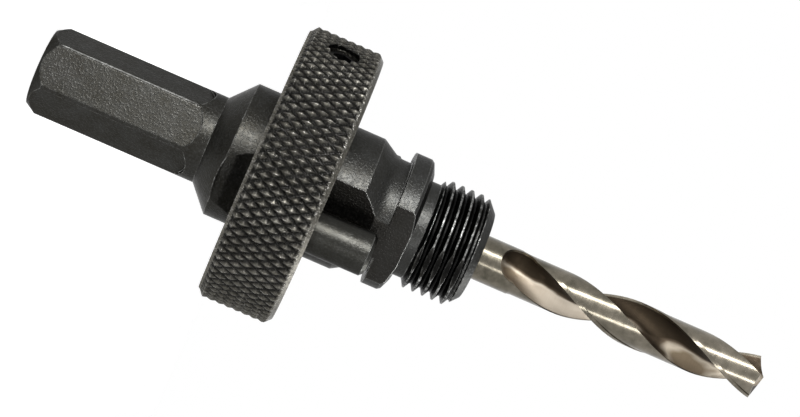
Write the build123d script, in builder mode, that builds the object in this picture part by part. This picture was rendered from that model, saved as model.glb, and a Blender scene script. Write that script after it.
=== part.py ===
from build123d import *
from math import acos, cos, degrees, radians, sin, sqrt, tan
import os

# Hole saw arbor with a sliding drive ring and a pilot drill, all sizes in millimetres.
# +Z runs from the shank's end to the drill's tip. The origin is the centre of the shank's end face.
# +X is the normal of the drive flats, and the two drive pins stand on the X axis.

# Hexagon shank, milled from a round bar
shank_d = 12.4
shank_len = 24.5
hex_across_flats = 11.0
hex_len = 22.9
hex_turn = -2.75
hex_cutter_d = 8.0
shank_chamfer_len = 1.45
shank_chamfer_deep = 0.9

# Arbor body, turned from one bar with the shank
body_d = 19.1
rear_cone_len = 3.0
body_len = 18.5
front_cone_len = 2.7
neck_d = 15.9
neck_len = 1.9
flange_len = 3.3
flange_chamfer_len = 0.7
flange_chamfer_deep = 1.65
flange_corner_break = 0.3
relief_d = 13.7
relief_len = 2.05
thread_d = 15.875
thread_len = 7.65
thread_chamfer_len = 1.5
thread_chamfer_deep = 1.7
neck_root_r = 2.5

# Two drive flats, cut lengthwise from the nose with a disc cutter
flats_across = 15.0
flats_full_from = 37.3
flats_cutter_r = 31.5

# Drive ring, drawn back against the flats' run-out
ring_d = 39.6
ring_width = 10.7
ring_back_z = 30.85
ring_chamfer = 0.9
bore_chamfer = 0.4
slide_clearance = 0.1

# Drive pins, pressed into the ring
pin_d = 6.0
pin_circle_d = 24.5
pin_count = 2
pin_reach = 8.3
pin_recess = 0.4
pin_chamfer = 0.5

# Ball detent in the ring, a quarter turn from the pins
ball_d = 4.0
ball_hole_d = 4.5
ball_clearance = 0.05
detent_turn = -90.0
spring_wire_d = 0.5
spring_outer_d = 3.6
spring_turns = 3
spring_share = 0.42
seat_gap = 0.02
detent_screw_sunk = 1.2

# Grub screws, drawn plain at the pitch diameter of an M5 thread
grub_d = 4.48
grub_socket_af = 2.5
grub_socket_share = 0.6
grub_chamfer = 0.4
thread_clearance = 0.03

# Pilot drill and the screw that clamps it, on the flat away from the detent's side
drill_d = 6.35
drill_len = 80.0
drill_seat_z = 26.4
drill_clearance = 0.05
drill_end_gap = 0.2
drill_shank_chamfer = 0.4
drill_pitch = 40.6
flute_len = 37.1
flute_tip_turn = 101.6
flute_r = 2.67
flute_sides = 24
web_d = 1.3
margin_width = 0.6
margin_deep = 0.14
point_angle = 145.0
lip_relief = 10.0
heel_relief = 26.0
lip_facet_width = 1.0
clamp_z = 39.5
clamp_screw_len = 4.0
clamp_gap = 0.02

# Heights along the axis that follow from the lengths above
cone_top_z = shank_len + rear_cone_len
body_top_z = cone_top_z + body_len
neck_z = body_top_z + front_cone_len
flange_z = neck_z + neck_len
face_z = flange_z + flange_len
thread_z = face_z + relief_len
nose_z = thread_z + thread_len
ring_mid_z = ring_back_z + ring_width / 2
drill_tip_z = drill_seat_z + drill_len
flute_start_z = drill_tip_z - flute_len
flat_h = flats_across / 2
cut_margin = 5.0


def near(vertices, x, y):
    """The vertex of a flat profile that stands at (x, y)."""
    return vertices.sort_by_distance((x, y, 0))[0]


def facing(angle, height=0.0, z=0.0):
    """A plane that looks outward at `angle` about the axis, `height` out from it, with its y along +Z."""
    out = Vector(cos(radians(angle)), sin(radians(angle)), 0)
    side = Vector(-sin(radians(angle)), cos(radians(angle)), 0)
    return Plane(origin=out * height + Vector(0, 0, z), x_dir=side, z_dir=out)


# Arbor body: shank, cones, neck, flange and threaded nose in one turned profile
with BuildPart() as arbor_body:
    with BuildSketch(Plane.XZ) as turning:
        with BuildLine():
            Polyline(
                (0, 0),
                (shank_d / 2 - shank_chamfer_deep, 0),
                (shank_d / 2, shank_chamfer_len),
                (shank_d / 2, shank_len),
                (body_d / 2, cone_top_z),
                (body_d / 2, body_top_z),
                (neck_d / 2, neck_z),
                (neck_d / 2, flange_z),
                (body_d / 2, flange_z),
                (body_d / 2, face_z - flange_chamfer_len),
                (body_d / 2 - flange_chamfer_deep, face_z),
                (relief_d / 2, face_z),
                (relief_d / 2, thread_z - (thread_d - relief_d) / 4),
                (thread_d / 2, thread_z),
                (thread_d / 2, nose_z - thread_chamfer_len),
                (thread_d / 2 - thread_chamfer_deep, nose_z),
                (0, nose_z),
                close=True,
            )
        make_face()
        fillet(near(turning.vertices(), neck_d / 2, neck_z), radius=neck_root_r)
        chamfer(near(turning.vertices(), body_d / 2, face_z - flange_chamfer_len), length=flange_corner_break)
    revolve(axis=Axis.Z)

    # Six hexagon flats, each ending in the round wall that the end mill leaves
    for face in range(6):
        angle = hex_turn + 30 + face * 60
        with BuildSketch(facing(angle, hex_across_flats / 2)):
            cutter_z = hex_len - hex_cutter_d / 2
            with Locations((0, cutter_z)):
                Circle(hex_cutter_d / 2)
            with Locations((0, cutter_z / 2 - cut_margin / 2)):
                Rectangle(hex_cutter_d, cutter_z + cut_margin)
        extrude(amount=shank_d, mode=Mode.SUBTRACT)

    # Two drive flats: straight from the nose, then the disc cutter's arc out through the rear cone
    for angle in (0, 180):
        cutter_x = flat_h + flats_cutter_r
        with BuildSketch(Plane.XZ.rotated((0, 0, angle)).offset(body_d)):
            with Locations((cutter_x, flats_full_from)):
                Circle(flats_cutter_r)
            with Locations((cutter_x, (flats_full_from + nose_z + cut_margin) / 2)):
                Rectangle(2 * flats_cutter_r, nose_z + cut_margin - flats_full_from)
        extrude(amount=-2 * body_d, mode=Mode.SUBTRACT)

    # Bore for the pilot drill, with the cone of the drill that made it
    bore_r = drill_d / 2 + drill_clearance
    bore_z = drill_seat_z - drill_end_gap
    with BuildSketch(Plane.XZ):
        with BuildLine():
            Polyline(
                (0, bore_z - bore_r / tan(radians(59))),
                (bore_r, bore_z),
                (bore_r, nose_z - bore_chamfer),
                (bore_r + bore_chamfer, nose_z),
                (0, nose_z),
                close=True,
            )
        make_face()
    revolve(axis=Axis.Z, mode=Mode.SUBTRACT)

    # Tapped hole for the screw that clamps the pilot drill
    with BuildSketch(facing(180, 0, clamp_z)):
        Circle(grub_d / 2 + thread_clearance)
    extrude(amount=body_d, mode=Mode.SUBTRACT)


# Drive ring: a wide disc with chamfered rims and a bore with two flats
with BuildPart() as drive_ring:
    with BuildSketch(Plane.XY.offset(ring_back_z)):
        Circle(ring_d / 2)
    extrude(amount=ring_width)
    chamfer(drive_ring.edges().filter_by(GeomType.CIRCLE), length=ring_chamfer)

    # Bore outline: the body's round and flats, each opened by the sliding clearance
    bore_flat = flat_h + slide_clearance
    with BuildSketch(Plane.XY.offset(ring_back_z)) as bore:
        Circle(body_d / 2 + slide_clearance)
        Rectangle(2 * bore_flat, body_d + 2 * cut_margin, mode=Mode.INTERSECT)
    extrude(amount=ring_width, mode=Mode.SUBTRACT)

    # The flats' rear ends are tapered back, to clear the run-out that the ring is drawn onto
    run_out = (flats_full_from - ring_back_z) ** 2 / (2 * flats_cutter_r)
    taper_x = bore_flat + run_out + slide_clearance
    with BuildPart(mode=Mode.PRIVATE) as taper:
        with BuildSketch(Plane.XZ.offset(-body_d)):
            with BuildLine():
                Polyline(
                    (-taper_x, ring_back_z),
                    (taper_x, ring_back_z),
                    (bore_flat, flats_full_from),
                    (-bore_flat, flats_full_from),
                    close=True,
                )
            make_face()
        extrude(amount=2 * body_d)
        with BuildSketch(Plane.XY.offset(ring_back_z)):
            Circle(body_d / 2 + slide_clearance)
        extrude(amount=ring_width, mode=Mode.INTERSECT)
    add(taper.part, mode=Mode.SUBTRACT)

    # Holes for the pressed drive pins
    with BuildSketch(Plane.XY.offset(ring_back_z)):
        with PolarLocations(pin_circle_d / 2, pin_count):
            Circle(pin_d / 2)
    extrude(amount=ring_width, mode=Mode.SUBTRACT)

    # Radial hole for the ball, tapped for the screw from outside
    with BuildSketch(facing(detent_turn, 0, ring_mid_z)):
        Circle(ball_hole_d / 2)
    extrude(amount=ring_d, mode=Mode.SUBTRACT)


# Drive pins, chamfered at the end that enters the saw
drive_pins = []
for number in range(pin_count):
    turn = number * 360 / pin_count
    pin_x = pin_circle_d / 2 * cos(radians(turn))
    pin_y = pin_circle_d / 2 * sin(radians(turn))
    with BuildPart() as drive_pin:
        with BuildSketch(Plane((pin_x, pin_y, ring_back_z + pin_recess))):
            Circle(pin_d / 2)
        extrude(amount=ring_width - pin_recess + pin_reach)
        chamfer(drive_pin.edges().filter_by(GeomType.CIRCLE).sort_by(Axis.Z)[-1], length=pin_chamfer)
    drive_pins.append(drive_pin)


# Detent, stacked outward from the body: ball, spring and grub screw
coil_r = (spring_outer_d - spring_wire_d) / 2
ball_r = body_d / 2 + ball_clearance + ball_d / 2
spring_r = ball_r + sqrt(((ball_d + spring_wire_d) / 2 + seat_gap) ** 2 - coil_r**2)
detent_screw_top_r = ring_d / 2 - detent_screw_sunk
spring_len = (detent_screw_top_r - spring_r) * spring_share
detent_screw_r = spring_r + spring_len + spring_wire_d / 2 + seat_gap

with BuildPart() as detent_ball:
    with Locations(facing(detent_turn, ball_r, ring_mid_z).origin):
        Sphere(ball_d / 2)

# The wire is round on the real spring, and has four sides here
with BuildPart() as detent_spring:
    with BuildLine() as coil:
        Helix(pitch=spring_len / spring_turns, height=spring_len, radius=coil_r)
    with BuildSketch(Plane(coil.line @ 0, z_dir=coil.line % 0)):
        RegularPolygon(spring_wire_d / 2, 4)
    sweep(is_frenet=True)
spring_seat = facing(detent_turn, spring_r, ring_mid_z)
detent_spring.part = spring_seat.location * detent_spring.part


def grub_screw(seat, length):
    """A flat-point grub screw with a hexagon socket, its point on `seat` and its axis along the seat's z."""
    with BuildPart() as screw:
        with BuildSketch(seat):
            Circle(grub_d / 2)
        extrude(amount=length)
        chamfer(screw.edges().filter_by(GeomType.CIRCLE), length=min(grub_chamfer, length / 4))
        with BuildSketch(seat.offset(length)):
            RegularPolygon(grub_socket_af / 2, 6, major_radius=False)
        extrude(amount=-length * grub_socket_share, mode=Mode.SUBTRACT)
    return screw


detent_screw_len = detent_screw_top_r - detent_screw_r
detent_screw = grub_screw(facing(detent_turn, detent_screw_r, ring_mid_z), detent_screw_len)
pilot_screw = grub_screw(facing(180, drill_d / 2 + clamp_gap, clamp_z), clamp_screw_len)


# Pilot drill: round shank, two helical flutes with margins, and a four-facet point
def flute_angle(z):
    """The direction of the first flute's middle at the height z."""
    return flute_tip_turn - 360 * (drill_tip_z - z) / drill_pitch


def around(radius, angle):
    """The point at `angle` on a circle about the axis."""
    return (radius * cos(radians(angle)), radius * sin(radians(angle)))


drill_r = drill_d / 2
land_r = drill_r - margin_deep
flute_centre_r = web_d / 2 + flute_r
flute_half = degrees(acos((drill_r**2 + flute_centre_r**2 - flute_r**2) / (2 * drill_r * flute_centre_r)))
margin_angle = degrees(margin_width / drill_r)
start_angle = flute_angle(flute_start_z)

with BuildPart() as pilot_drill:
    with BuildSketch(Plane.XY.offset(drill_seat_z)):
        Circle(drill_r)
    extrude(amount=drill_len - flute_len)
    chamfer(pilot_drill.edges().filter_by(GeomType.CIRCLE).sort_by(Axis.Z)[0], length=drill_shank_chamfer)
    with BuildSketch(Plane.XY.offset(flute_start_z)):
        Circle(land_r)
    extrude(amount=flute_len)

    # The margins stand up from the lands, and the gullets are cut beside them, all twisted along the axis.
    # The gullets are round on the real drill, and have many flat sides here, one of them nearest the axis.
    with BuildLine(mode=Mode.PRIVATE) as axis_line:
        Line((0, 0, flute_start_z), (0, 0, drill_tip_z))
    with BuildLine(mode=Mode.PRIVATE) as twist:
        Helix(pitch=drill_pitch, height=flute_len, radius=drill_d, center=(0, 0, flute_start_z))
    for side in (0, 180):
        margin_end = start_angle + side - flute_half
        margin_start = margin_end - margin_angle
        root_r = land_r - margin_deep
        with BuildSketch(Plane.XY.offset(flute_start_z)):
            with BuildLine():
                RadiusArc(around(root_r, margin_start), around(root_r, margin_end + margin_angle), -root_r)
                Line(around(root_r, margin_end + margin_angle), around(drill_r, margin_end + margin_angle))
                RadiusArc(around(drill_r, margin_end + margin_angle), around(drill_r, margin_start), drill_r)
                Line(around(drill_r, margin_start), around(root_r, margin_start))
            make_face()
        sweep(path=axis_line.line, binormal=twist.edge())
    for side in (0, 180):
        gullet_centre = around(flute_centre_r, start_angle + side)
        with BuildSketch(Plane.XY.offset(flute_start_z)):
            with Locations(gullet_centre):
                RegularPolygon(flute_r, flute_sides, False, rotation=start_angle + side + 180 / flute_sides)
        sweep(path=axis_line.line, binormal=twist.edge(), mode=Mode.SUBTRACT)

        # The gullet starts in the round scoop that the wheel leaves
        with Locations((*gullet_centre, flute_start_z)):
            Sphere(flute_r, mode=Mode.SUBTRACT)

    # Point: a lip facet and a heel facet for each land, all through the lips' directions
    lip_angle = flute_angle(drill_tip_z) - flute_half
    for side in (0, 180):
        lip = Vector(*around(1, lip_angle + side), 0)
        back = Vector(*around(1, lip_angle + side - 90), 0)
        fall = Vector(0, 0, -1)
        lip_line = lip * sin(radians(point_angle / 2)) + fall * cos(radians(point_angle / 2))
        lip_back = back * cos(radians(lip_relief)) + fall * sin(radians(lip_relief))
        heel_back = back * cos(radians(heel_relief)) + fall * sin(radians(heel_relief))
        tip = Vector(0, 0, drill_tip_z)
        land_edge = tip + lip_back * lip_facet_width
        for origin, slope in ((tip, lip_back), (land_edge, heel_back)):
            facet = Plane(origin=origin, x_dir=lip_line, z_dir=slope.cross(lip_line))
            split(bisect_by=facet, keep=Keep.BOTTOM)


os.makedirs("parts", exist_ok=True)
arbor_body.part.label = "arbor_body"
export_step(arbor_body.part, "parts/arbor_body.step")
drive_ring.part.label = "drive_ring"
export_step(drive_ring.part, "parts/drive_ring.step")
for number, drive_pin in enumerate(drive_pins, 1):
    drive_pin.part.label = f"drive_pin_{number}"
    export_step(drive_pin.part, f"parts/drive_pin_{number}.step")
detent_ball.part.label = "detent_ball"
export_step(detent_ball.part, "parts/detent_ball.step")
detent_spring.part.label = "detent_spring"
export_step(detent_spring.part, "parts/detent_spring.step")
detent_screw.part.label = "detent_screw"
export_step(detent_screw.part, "parts/detent_screw.step")
pilot_screw.part.label = "pilot_screw"
export_step(pilot_screw.part, "parts/pilot_screw.step")
pilot_drill.part.label = "pilot_drill"
export_step(pilot_drill.part, "parts/pilot_drill.step")
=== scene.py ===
from math import cos, pi, radians, sin

import bmesh
import bpy
from mathutils import Matrix, Vector


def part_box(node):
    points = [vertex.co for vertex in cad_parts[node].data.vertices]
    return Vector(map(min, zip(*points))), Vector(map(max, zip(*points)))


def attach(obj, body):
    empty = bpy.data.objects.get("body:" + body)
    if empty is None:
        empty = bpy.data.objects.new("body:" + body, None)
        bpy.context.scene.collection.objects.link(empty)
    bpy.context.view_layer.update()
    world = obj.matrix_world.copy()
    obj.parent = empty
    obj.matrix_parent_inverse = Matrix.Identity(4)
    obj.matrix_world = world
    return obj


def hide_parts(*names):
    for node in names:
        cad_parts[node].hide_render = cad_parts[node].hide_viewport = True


# Hole saw arbor: the looks of its surfaces, set on the fixed frame of solids.
# Shapes are in metres. The finishes are in millimetres: height along the arbor's axis from the
# shank's end, and radius from the axis.

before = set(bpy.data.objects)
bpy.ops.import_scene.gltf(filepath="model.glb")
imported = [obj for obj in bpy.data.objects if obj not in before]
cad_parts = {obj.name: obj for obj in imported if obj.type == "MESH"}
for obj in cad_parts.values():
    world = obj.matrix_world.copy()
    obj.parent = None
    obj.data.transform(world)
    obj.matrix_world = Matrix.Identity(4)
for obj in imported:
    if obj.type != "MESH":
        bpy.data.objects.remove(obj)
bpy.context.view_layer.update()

MM = 0.001

# Camera, as found from the outline: it looks at the arbor's side, with its picture turned about
# the line of sight
CAMERA_TURN = 26.5
CAMERA_TILT = 3.439
CAMERA_LEAN = 0.095
PICTURE_TURN = 23.46
CAMERA_AWAY = 282.74 * MM
AIM_Z = 35.14 * MM
AIM_ALONG = -16.377 * MM
AIM_ACROSS = 1.687 * MM
FOCAL_PX = 2095.8
PICTURE_W = 800
SENSOR_MM = 36.0

# Floor, and the strength of the surroundings as soft light and where they are seen
FLOOR_HALF = 3.0
FLOOR_GAP = 0.05 * MM
FLOOR_GLOW = 0.72
WORLD_SOFT = 0.25
WORLD_SEEN = 1.0

# The point of the arbor's axis that the lamps face
LAMP_AIM_Z = 50 * MM

# Nose thread, right-handed, 18 turns to the inch
THREAD_PITCH = 1.411 * MM
THREAD_ROOT_R = 7.07 * MM
THREAD_CREST_R = 7.96 * MM
THREAD_CUT_R = 8.6 * MM
THREAD_ROOT_HALF = 0.12 * MM
THREAD_CUT_HALF = 0.62 * MM
THREAD_CREST_Z = 58.23 * MM
THREAD_CREST_TURN = -116.5
THREAD_LOW = 54.6 * MM
THREAD_STEPS = 60

# Diamond knurl on the drive ring, with its depths from the groove to a diamond's crest
KNURL_COUNT = 87
KNURL_LONG = 2.47 * MM
KNURL_HALF_STEPS = 4
KNURL_PROUD = 0.02 * MM
KNURL_PROFILE = (0.45 * MM, 0.33 * MM, 0.20 * MM, 0.09 * MM, 0.02 * MM)
RING_CHAMFER = 0.9 * MM

# Edges that turn by more than this stay sharp
SMOOTH_BELOW = radians(28)

# Pilot drill's flutes, in millimetres and degrees
DRILL_PITCH = 40.6
FLUTE_TIP_TURN = 101.6
DRILL_TIP_Z = 106.4
FLUTE_TURN_AT_BASE = FLUTE_TIP_TURN - 360 * DRILL_TIP_Z / DRILL_PITCH
FLUTE_EDGE_R = (2.80, 2.97)

# Where the body's colour changes, painted light and shade among them, in millimetres: a pair is
# where a change starts, and where it is complete
# The tone is painted paler towards the nose: painted light, for the brighter light on its front
NOSE_PAINTED_PALER = (36, 53)
FRONT_MORE_RUBBED = (24, 40)
FRONT_EDGES_START = (38, 46)
FRONT_EDGES_END = (54.2, 55)
# The drive flats are painted darker: painted shade
FLATS_START = (31, 32)
FLATS_AT = 7.5
FLATS_SKIN = (0.02, 0.05)
THREAD_START = (55.8, 56.0)
THREAD_END = (61.8, 62.1)
CREST_R = (7.80, 7.90)
# Radii of the thread's grooves, painted nearly black: painted shade, with oil
GROOVE_R = (7.45, 7.88)

# The one corner of the hexagon with a painted highlight, painted bright where the lamp's reflection
# runs along it
CORNER_TURN = radians(-62.75)
CORNER_START = (1.6, 2.2)
CORNER_END = (19.5, 21.5)
CORNER_HALF = (0.05, 0.15)
CORNER_R = (5.0, 5.5)


def camera_axes():
    """The camera's forward direction, and the directions along and across the arbor in its view."""
    turn = radians(CAMERA_TURN)
    tilt = radians(CAMERA_TILT)
    lean = radians(CAMERA_LEAN)
    toward = Vector((cos(turn), -sin(turn), 0))
    beside = Vector((sin(turn), cos(turn), 0))
    along = Vector((0, 0, 1))
    forward = along * sin(tilt) - toward * cos(tilt)
    rise = along * cos(tilt) + toward * sin(tilt)
    across = rise * sin(lean) + beside * cos(lean)
    rise = rise * cos(lean) - beside * sin(lean)
    return forward, rise, across


def make_camera():
    forward, rise, across = camera_axes()
    roll = radians(PICTURE_TURN)
    right = rise * cos(roll) - across * sin(roll)
    up = -(rise * sin(roll) + across * cos(roll))
    aim = Vector((0, 0, AIM_Z)) - rise * AIM_ALONG - across * AIM_ACROSS
    data = bpy.data.cameras.new("camera")
    data.sensor_fit = "HORIZONTAL"
    data.sensor_width = SENSOR_MM
    data.lens = FOCAL_PX * SENSOR_MM / PICTURE_W
    data.clip_start = 0.01
    data.clip_end = 20
    camera = bpy.data.objects.new("camera", data)
    bpy.context.scene.collection.objects.link(camera)
    axes = Matrix((right, up, -forward)).transposed().to_4x4()
    camera.matrix_world = Matrix.Translation(aim - forward * CAMERA_AWAY) @ axes
    bpy.context.scene.camera = camera


def new_object(name, points, faces):
    mesh = bpy.data.meshes.new(name)
    mesh.from_pydata(points, [], faces)
    mesh.update()
    piece = bpy.data.objects.new(name, mesh)
    bpy.context.scene.collection.objects.link(piece)
    return piece


def cad_copy(node, name):
    """A new object with the node's mesh, its seams welded."""
    form = bmesh.new()
    form.from_mesh(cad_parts[node].data)
    bmesh.ops.remove_doubles(form, verts=form.verts, dist=0.001 * MM)
    bmesh.ops.dissolve_degenerate(form, edges=form.edges, dist=0.0005 * MM)
    form.verts.index_update()
    points = [tuple(v.co) for v in form.verts]
    faces = [tuple(v.index for v in f.verts) for f in form.faces]
    form.free()
    return new_object(name, points, faces)


def combine(piece, tool, operation):
    """Cuts the piece with the tool, or keeps what they share, and deletes the tool."""
    step = piece.modifiers.new("combine", "BOOLEAN")
    step.operation = operation
    step.solver = "EXACT"
    step.object = tool
    graph = bpy.context.evaluated_depsgraph_get()
    mesh = bpy.data.meshes.new_from_object(piece.evaluated_get(graph))
    piece.modifiers.clear()
    piece.data = mesh
    bpy.data.objects.remove(tool)


def smooth(piece):
    """Smooth shading, kept sharp along edges that turn by more than the limit."""
    form = bmesh.new()
    form.from_mesh(piece.data)
    for face in form.faces:
        face.smooth = True
    for edge in form.edges:
        edge.smooth = edge.is_manifold and edge.calc_face_angle(0) < SMOOTH_BELOW
    form.to_mesh(piece.data)
    form.free()


def thread_cutter(top):
    """The groove of the thread: a V section carried along a helix, closed at both ends."""
    section = (
        (THREAD_ROOT_R, -THREAD_ROOT_HALF),
        (THREAD_CREST_R, -THREAD_CUT_HALF),
        (THREAD_CUT_R, -THREAD_CUT_HALF),
        (THREAD_CUT_R, THREAD_CUT_HALF),
        (THREAD_CREST_R, THREAD_CUT_HALF),
        (THREAD_ROOT_R, THREAD_ROOT_HALF),
    )
    turns = (top - THREAD_LOW) / THREAD_PITCH + 1
    steps = int(turns * THREAD_STEPS)
    start_z = THREAD_CREST_Z + THREAD_PITCH / 2
    start_z -= THREAD_PITCH * round((start_z - THREAD_LOW) / THREAD_PITCH)
    points = []
    faces = []
    for step in range(steps + 1):
        turn = radians(THREAD_CREST_TURN) + 2 * pi * step / THREAD_STEPS
        middle = start_z + THREAD_PITCH * step / THREAD_STEPS
        points += [(r * cos(turn), r * sin(turn), middle + z) for r, z in section]
    count = len(section)
    for step in range(steps):
        for side in range(count):
            a = step * count + side
            b = step * count + (side + 1) % count
            faces.append((a, a + count, b + count, b))
    faces.append(tuple(range(count)))
    faces.append(tuple(steps * count + side for side in reversed(range(count))))
    return new_object("thread_cutter", points, faces)


def knurl_depth(column, row):
    """How deep the surface lies at a point of the lattice, whose grooves run along diagonals."""
    span = 2 * KNURL_HALF_STEPS
    first = (column + row) % span
    second = (column - row) % span
    return KNURL_PROFILE[min(first, span - first, second, span - second)]


def knurled_disc(radius, low, high):
    """A closed disc with the knurl all round, a little longer than the ring."""
    columns = KNURL_COUNT * 2 * KNURL_HALF_STEPS
    row_step = KNURL_LONG / (2 * KNURL_HALF_STEPS)
    rows = int((high - low) / row_step) + 4
    points = []
    for row in range(rows + 1):
        z = low - row_step + row * row_step
        for column in range(columns):
            turn = 2 * pi * column / columns
            r = radius - KNURL_PROUD - knurl_depth(column, row)
            r -= min(RING_CHAMFER, max(0, low + RING_CHAMFER - z))
            points.append((r * cos(turn), r * sin(turn), z))
    faces = []
    for row in range(rows):
        for column in range(columns):
            after = (column + 1) % columns
            a, b = row * columns + column, row * columns + after
            c, d = b + columns, a + columns
            rising = abs(knurl_depth(column, row) - knurl_depth(column + 1, row + 1))
            falling = abs(knurl_depth(column + 1, row) - knurl_depth(column, row + 1))
            if rising <= falling:
                faces += [(a, b, c), (a, c, d)]
            else:
                faces += [(a, b, d), (b, c, d)]
    bottom, top = len(points), len(points) + 1
    points += [(0, 0, low - row_step), (0, 0, low - row_step + rows * row_step)]
    last = rows * columns
    for column in range(columns):
        after = (column + 1) % columns
        faces.append((bottom, after, column))
        faces.append((top, last + column, last + after))
    return new_object("knurled_disc", points, faces)


def make_arbor():
    piece = cad_copy("arbor_body", "threaded_arbor")
    combine(piece, thread_cutter(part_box("arbor_body")[1].z), "DIFFERENCE")
    smooth(piece)
    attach(piece, "arbor")
    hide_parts("arbor_body")
    return piece


def make_ring():
    low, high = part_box("drive_ring")
    piece = cad_copy("drive_ring", "knurled_ring")
    combine(piece, knurled_disc(high.x, low.z, high.z), "INTERSECT")
    smooth(piece)
    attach(piece, "drive_ring_unit")
    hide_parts("drive_ring")
    return piece


def make_drill():
    """The drill with its flutes shaded smooth, where the solid has flat sides."""
    piece = cad_copy("pilot_drill", "ground_drill")
    smooth(piece)
    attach(piece, "arbor")
    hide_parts("pilot_drill")
    return piece


class Graph:
    """The nodes of one material or world, linked as they are added."""

    def __init__(self, owner):
        self.owner = owner
        owner.use_nodes = True
        self.tree = owner.node_tree
        self.tree.nodes.clear()

    def add(self, kind, inputs, **settings):
        node = self.tree.nodes.new(kind)
        for key, value in settings.items():
            setattr(node, key, value)
        for key, value in inputs.items():
            if isinstance(value, bpy.types.NodeSocket):
                self.tree.links.new(value, node.inputs[key])
            else:
                node.inputs[key].default_value = value
        return node

    def math(self, operation, *values):
        node = self.add("ShaderNodeMath", dict(enumerate(values)), operation=operation)
        return node.outputs[0]

    def vector(self, operation, *values):
        node = self.add("ShaderNodeVectorMath", dict(enumerate(values)), operation=operation)
        return node.outputs

    def between(self, value, low, high, to_low=0.0, to_high=1.0):
        """The value carried from one range to another, held at the ends."""
        node = self.add("ShaderNodeMapRange", {
            "Value": value,
            "From Min": low,
            "From Max": high,
            "To Min": to_low,
            "To Max": to_high,
        })
        return node.outputs["Result"]

    def mix(self, factor, first, second):
        """The first colour turned into the second by the factor."""
        inputs = {0: factor}
        for key, colour in ((6, first), (7, second)):
            given = isinstance(colour, bpy.types.NodeSocket)
            inputs[key] = colour if given else (*colour, 1)
        return self.add("ShaderNodeMix", inputs, data_type="RGBA").outputs[2]

    def place(self, stretch=(1, 1, 1)):
        """The surface point in millimetres, stretched along the axes."""
        point = self.add("ShaderNodeTexCoord", {}).outputs["Object"]
        return self.vector("MULTIPLY", point, tuple(s / MM for s in stretch))[0]

    def axes(self):
        """The surface point's X, Y and Z in millimetres."""
        return self.add("ShaderNodeSeparateXYZ", {0: self.place()}).outputs

    def height(self):
        return self.axes()["Z"]

    def radius(self):
        return self.vector("LENGTH", self.place((1, 1, 0)))["Value"]

    def noise(self, point, scale, detail, rough):
        node = self.add("ShaderNodeTexNoise", {
            "Vector": point,
            "Scale": scale,
            "Detail": detail,
            "Roughness": rough,
        })
        return node.outputs["Fac"]

    def eased(self, width):
        """The surface's normal, turned gradually round its edges over the width."""
        return self.add("ShaderNodeBevel", {"Radius": width}, samples=6).outputs["Normal"]

    def edges(self, width):
        """1 along outer and inner edges, 0 on plain faces."""
        plain = self.add("ShaderNodeNewGeometry", {}).outputs["Normal"]
        alike = self.vector("DOT_PRODUCT", plain, self.eased(width))["Value"]
        return self.between(alike, 0.90, 0.995, 1.0, 0.0)

    def bump(self, height, depth, strength, under=None):
        inputs = {"Height": height, "Distance": depth, "Strength": strength}
        if under:
            inputs["Normal"] = under
        return self.add("ShaderNodeBump", inputs).outputs["Normal"]

    def seen_directly(self):
        """1 for rays from the camera and their mirror and glass bounces, 0 for soft light's."""
        path = self.add("ShaderNodeLightPath", {}).outputs
        seen = self.math("MAXIMUM", path["Is Camera Ray"], path["Is Glossy Ray"])
        return self.math("MAXIMUM", seen, path["Is Transmission Ray"])

    def surface(self, inputs):
        shader = self.add("ShaderNodeBsdfPrincipled", inputs)
        self.add("ShaderNodeOutputMaterial", {"Surface": shader.outputs[0]})
        return self.owner


def new_finish(name):
    return Graph(bpy.data.materials.new(name))


def blackened_steel(name, coloured, rough, grain, ease=0.22, sheen=0.6):
    """Steel with a thin black finish, speckled and pitted, and smoother along its edges."""
    g = new_finish(name)
    point = g.place()
    speckle = g.between(g.noise(point, 3.2, 4, 0.7), 0.35, 0.75, 0, 0.6)
    blotch = g.between(g.noise(point, 0.35, 4, 0.6), 0.3, 0.7, 0, 0.4)
    tone = g.math("ADD", speckle, blotch)
    patches = g.between(g.noise(point, 1.3, 4, 0.7), 0.44, 0.62)
    edge = g.edges(ease * MM)
    roughness = g.between(g.noise(point, 1.1, 4, 0.6), 0.3, 0.7, *rough)
    roughness = g.math("SUBTRACT", roughness, g.math("MULTIPLY", edge, 0.22))
    pits = g.between(g.noise(point, 3.2, 2, 0.5), 0.50, 0.66)
    ripple = g.math("MULTIPLY", g.noise(point, 4.0, 3, 0.6), 0.35)
    relief = g.math("ADD", ripple, pits)
    return g.surface({
        "Base Color": coloured(g, tone, patches, edge),
        "Roughness": roughness,
        "Metallic": 1.0,
        "Specular Tint": (sheen, sheen, sheen, 1),
        "Normal": g.bump(relief, grain * MM, 1.0, g.eased(ease * MM)),
    })


def body_colour(g, tone, patches, edge):
    """Painted shade on the drive flats and, with oil, in the thread's grooves; paler towards the
    nose as painted light; rubbed bright on edges and crests; and a painted highlight along one
    corner of the hexagon.
    """
    flats_painted_shade = g.math("MULTIPLY", drive_flats(g), 0.5)
    corner_painted_highlight = g.math("MULTIPLY", hexagon_corner_highlight(g), g.between(patches, 0, 1, 0.55, 1.0))
    crest, groove = thread_marks(g)
    crest_rubbed = g.math("MULTIPLY", crest, patches)
    colour = g.mix(nose_painted_paler(g, tone), (0.019, 0.0180, 0.0150), (0.043, 0.0435, 0.0420))
    # Painted shade: the drive flats painted darker
    colour = g.mix(flats_painted_shade, colour, (0.010, 0.008, 0.006))
    colour = g.mix(front_edges_rubbed(g, patches, edge), colour, (0.32, 0.32, 0.31))
    colour = g.mix(crest_rubbed, colour, (0.24, 0.24, 0.235))
    # Painted shade, with oil: the thread's grooves painted nearly black
    colour = g.mix(groove, colour, (0.003, 0.003, 0.003))
    # Painted highlight: one corner of the hexagon painted bright
    return g.mix(corner_painted_highlight, colour, (0.30, 0.30, 0.29))


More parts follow.
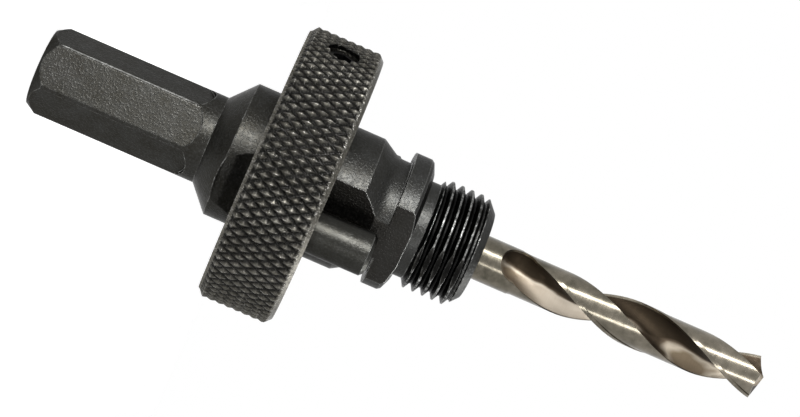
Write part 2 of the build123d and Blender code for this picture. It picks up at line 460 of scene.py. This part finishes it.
def pin_colour(g, tone, patches, edge):
    """Like the body, and rubbed bright round the pin's end."""
    # The pin shares the body's painted light, paler towards the nose
    colour = g.mix(nose_painted_paler(g, tone), (0.016, 0.015, 0.012), (0.038, 0.038, 0.035))
    return g.mix(front_edges_rubbed(g, patches, edge), colour, (0.30, 0.30, 0.29))


def ring_colour(g, tone, patches, edge):
    """Paler than the body, and painted nearly black in the knurl's grooves: painted shade, with
    oil.
    """
    colour = g.mix(tone, (0.038, 0.035, 0.027), (0.140, 0.135, 0.120))
    colour = g.mix(g.math("MULTIPLY", edge, rubbed(g, patches)), colour, (0.40, 0.39, 0.37))
    # Painted shade with oil: the knurl's grooves painted nearly black
    groove_shade_and_oil = g.between(knurl_groove(g), 0.08, 0.38, 0, 0.93)
    return g.mix(groove_shade_and_oil, colour, (0.004, 0.004, 0.004))


# Painted light: the tone grows paler towards the nose, standing in for the brighter light on the
# flange
def nose_painted_paler(g, tone):
    return g.math("ADD", tone, g.between(g.height(), *NOSE_PAINTED_PALER, -0.12, 0.38))


def rubbed(g, patches):
    """How far an edge is rubbed bright: in patches, and more towards the front."""
    return g.math("MULTIPLY", patches, g.between(g.height(), *FRONT_MORE_RUBBED, 0.6, 1.0))


def front_edges_rubbed(g, patches, edge):
    """The rubbed edges, with no gaps from the body's front to the start of the thread."""
    height = g.height()
    start = g.between(height, *FRONT_EDGES_START, 0, 0.6)
    end = g.between(height, *FRONT_EDGES_END, 1.0, 0.0)
    without_gaps = g.math("MULTIPLY", start, end)
    return g.math("MULTIPLY", edge, g.math("MAXIMUM", rubbed(g, patches), without_gaps))


def thread_marks(g):
    """1 on the crests of the nose's thread, and nearly 1 down in its grooves."""
    height, radius = g.height(), g.radius()
    on_nose = g.between(height, *THREAD_START)
    on_turns = g.math("MULTIPLY", on_nose, g.between(height, *THREAD_END, 1.0, 0.0))
    crest = g.math("MULTIPLY", on_nose, g.between(radius, *CREST_R))
    groove = g.math("MULTIPLY", on_turns, g.between(radius, *GROOVE_R, 0.92, 0.0))
    return crest, groove


def drive_flats(g):
    """1 on the two flats along the front of the body."""
    across = g.math("ABSOLUTE", g.axes()["X"])
    off_flat = g.math("ABSOLUTE", g.math("SUBTRACT", across, FLATS_AT))
    level = g.between(off_flat, *FLATS_SKIN, 1.0, 0.0)
    return g.math("MULTIPLY", level, g.between(g.height(), *FLATS_START))


def hexagon_corner_highlight(g):
    """1 along the one corner of the hexagon that gets a painted highlight."""
    point, height = g.place(), g.height()
    outward = (cos(CORNER_TURN), sin(CORNER_TURN), 0)
    sideways = (-sin(CORNER_TURN), cos(CORNER_TURN), 0)
    reach = g.vector("DOT_PRODUCT", point, outward)["Value"]
    aside = g.math("ABSOLUTE", g.vector("DOT_PRODUCT", point, sideways)["Value"])
    corner = g.between(aside, *CORNER_HALF, 1.0, 0.0)
    start, end = g.between(height, *CORNER_START), g.between(height, *CORNER_END, 1.0, 0.0)
    for limit in (g.between(reach, *CORNER_R), start, end):
        corner = g.math("MULTIPLY", corner, limit)
    return corner


def knurl_groove(g):
    """How far a point of the drive ring lies below its turned surface, in millimetres."""
    low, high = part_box("drive_ring")
    height, radius = g.height(), g.radius()
    from_rear = g.math("SUBTRACT", height, low.z / MM)
    from_front = g.math("SUBTRACT", high.z / MM, height)
    from_end = g.math("MINIMUM", g.math("MINIMUM", from_rear, from_front), RING_CHAMFER / MM)
    inner = (high.x - RING_CHAMFER) / MM
    below = g.math("SUBTRACT", g.math("ADD", from_end, inner), radius)
    return g.math("MULTIPLY", below, g.between(radius, inner, inner + 0.1))


def flute_side(g):
    """Degrees across the flute from its middle, which turns with the height."""
    point = g.axes()
    turn = g.math("MULTIPLY", g.math("ARCTAN2", point["Y"], point["X"]), 180 / pi)
    middle = g.math("MULTIPLY", point["Z"], 360 / DRILL_PITCH)
    middle = g.math("ADD", middle, FLUTE_TURN_AT_BASE)
    return g.math("WRAP", g.math("SUBTRACT", turn, middle), 90.0, -90.0)


def flute_painted_reflections(g, height):
    """Painted reflections on a brown flute: dark on one side and pale on the other, with the border
    wandering, and a painted glare between heights 69 and 84.
    """
    drift = g.between(g.noise(g.place((1, 1, 0.6)), 0.24, 2, 0.5), 0.35, 0.65, -50, 50)
    across = g.math("ADD", flute_side(g), drift)
    across = g.math("ADD", across, g.between(height, 82, 88, 0, -45))
    across = g.math("ADD", across, g.between(height, 91, 98, 0, 45))
    # Painted reflections: the flute's walls painted dark on one side and pale on the other
    painted_dark_reflection = g.mix(g.between(across, -48, -14), (0.024, 0.018, 0.012), (0.080, 0.061, 0.043))
    painted_pale_reflection = g.mix(g.between(across, 20, 56), (0.34, 0.30, 0.24), (0.16, 0.125, 0.085))
    # Painted glare on the pale wall, low on the flute
    painted_glare = g.between(height, 69, 75, 0, 0.7)
    painted_glare = g.math("MULTIPLY", painted_glare, g.between(height, 79, 84, 1.0, 0.0))
    painted_pale_reflection = g.mix(painted_glare, painted_pale_reflection, (0.55, 0.49, 0.41))
    return g.mix(g.between(across, -18, 18), painted_dark_reflection, painted_pale_reflection)


def drill_steel():
    """Ground high-speed steel, with its flutes brown and dull, painted with dark and pale
    reflections.
    """
    g = new_finish("high_speed_steel")
    height, radius = g.height(), g.radius()
    lines = g.noise(g.place((0.5, 0.5, 5)), 1.2, 3, 0.6)
    stains = g.between(g.noise(g.place(), 0.5, 4, 0.6), 0.35, 0.65, 0, 0.6)
    stained = g.math("ADD", stains, g.between(height, 66, 100, 0, 0.4))
    ground = g.mix(stained, (0.080, 0.074, 0.056), (0.23, 0.205, 0.165))
    dull = g.between(radius, *FLUTE_EDGE_R, 0.36, 0.0)
    return g.surface({
        "Base Color": g.mix(g.between(radius, *FLUTE_EDGE_R), flute_painted_reflections(g, height), ground),
        "Roughness": g.math("ADD", g.between(lines, 0.3, 0.7, 0.17, 0.25), dull),
        "Metallic": 1.0,
        "Normal": g.bump(lines, 0.001 * MM, 0.3),
    })


def plain_steel(name, dark, light, rough):
    g = new_finish(name)
    point = g.place()
    return g.surface({
        "Base Color": g.mix(g.between(g.noise(point, 2.0, 4, 0.65), 0.3, 0.7), dark, light),
        "Roughness": g.between(g.noise(point, 4.0, 3, 0.6), 0.3, 0.7, *rough),
        "Metallic": 1.0,
        "Normal": g.bump(g.noise(point, 6.0, 3, 0.6), 0.01 * MM, 0.6),
    })


def finish_with(piece, material):
    piece.data.materials.clear()
    piece.data.materials.append(material)


def make_floor():
    half = FLOOR_HALF
    corners = ((-half, -half), (half, -half), (half, half), (-half, half))
    floor = new_object("floor", [(x, y, -FLOOR_GAP) for x, y in corners], [(0, 1, 2, 3)])
    g = new_finish("floor_paper")
    shade = g.noise(g.place(), 0.02, 2, 0.5)
    finish_with(floor, g.surface({
        "Base Color": g.mix(shade, (0.80, 0.80, 0.80), (0.84, 0.84, 0.84)),
        "Roughness": 0.9,
        "Emission Color": (1, 1, 1, 1),
        "Emission Strength": g.math("MULTIPLY", g.seen_directly(), FLOOR_GLOW),
    }))


def make_world():
    world = bpy.data.worlds.new("studio")
    bpy.context.scene.world = world
    g = Graph(world)
    strength = g.between(g.seen_directly(), 0, 1, WORLD_SOFT, WORLD_SEEN)
    light = g.add("ShaderNodeBackground", {"Color": (1, 1, 1, 1), "Strength": strength})
    g.add("ShaderNodeOutputWorld", {"Surface": light.outputs[0]})


def make_lamp(name, turn, height, away, size, power):
    """A soft rectangular lamp that faces the arbor, `turn` degrees round from the camera."""
    angle = radians(turn - CAMERA_TURN)
    place = Vector((away * cos(angle), away * sin(angle), height))
    data = bpy.data.lights.new(name, "AREA")
    data.shape = "RECTANGLE"
    data.size, data.size_y = size
    data.energy = power
    lamp = bpy.data.objects.new(name, data)
    bpy.context.scene.collection.objects.link(lamp)
    facing = (Vector((0, 0, LAMP_AIM_Z)) - place).to_track_quat("-Z", "Y")
    lamp.matrix_world = Matrix.Translation(place) @ facing.to_matrix().to_4x4()


make_camera()
make_world()
make_floor()
make_lamp("key", turn=-38, height=0.11, away=0.42, size=(0.09, 0.22), power=0.95)
make_lamp("low", turn=-28, height=0.035, away=0.42, size=(0.14, 0.07), power=1.1)
make_lamp("side", turn=28, height=0.20, away=0.42, size=(0.06, 0.18), power=0.4)
make_lamp("rim", turn=125, height=0.36, away=0.26, size=(0.20, 0.20), power=1.05)

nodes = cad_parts
finish_with(make_arbor(), blackened_steel(
    "blackened_body", body_colour, rough=(0.30, 0.40), grain=0.018))
finish_with(make_ring(), blackened_steel(
    "blackened_ring", ring_colour, rough=(0.24, 0.36), grain=0.05, ease=0.15, sheen=0.75))
for number in (1, 2):
    finish_with(nodes[f"drive_pin_{number}"], blackened_steel(
        f"blackened_pin_{number}", pin_colour, rough=(0.28, 0.38), grain=0.01))
finish_with(nodes["detent_ball"], plain_steel(
    "ball_steel", (0.45, 0.45, 0.45), (0.55, 0.55, 0.54), rough=(0.1, 0.2)))
finish_with(nodes["detent_spring"], plain_steel(
    "spring_steel", (0.3, 0.3, 0.3), (0.4, 0.4, 0.4), rough=(0.2, 0.3)))
for number, screw in enumerate(("detent_screw", "pilot_screw"), start=1):
    finish_with(nodes[screw], plain_steel(
        f"screw_steel_{number}", (0.02, 0.02, 0.02), (0.04, 0.04, 0.04), rough=(0.3, 0.45)))
finish_with(make_drill(), drill_steel())

bpy.context.scene.view_settings.view_transform = "Standard"
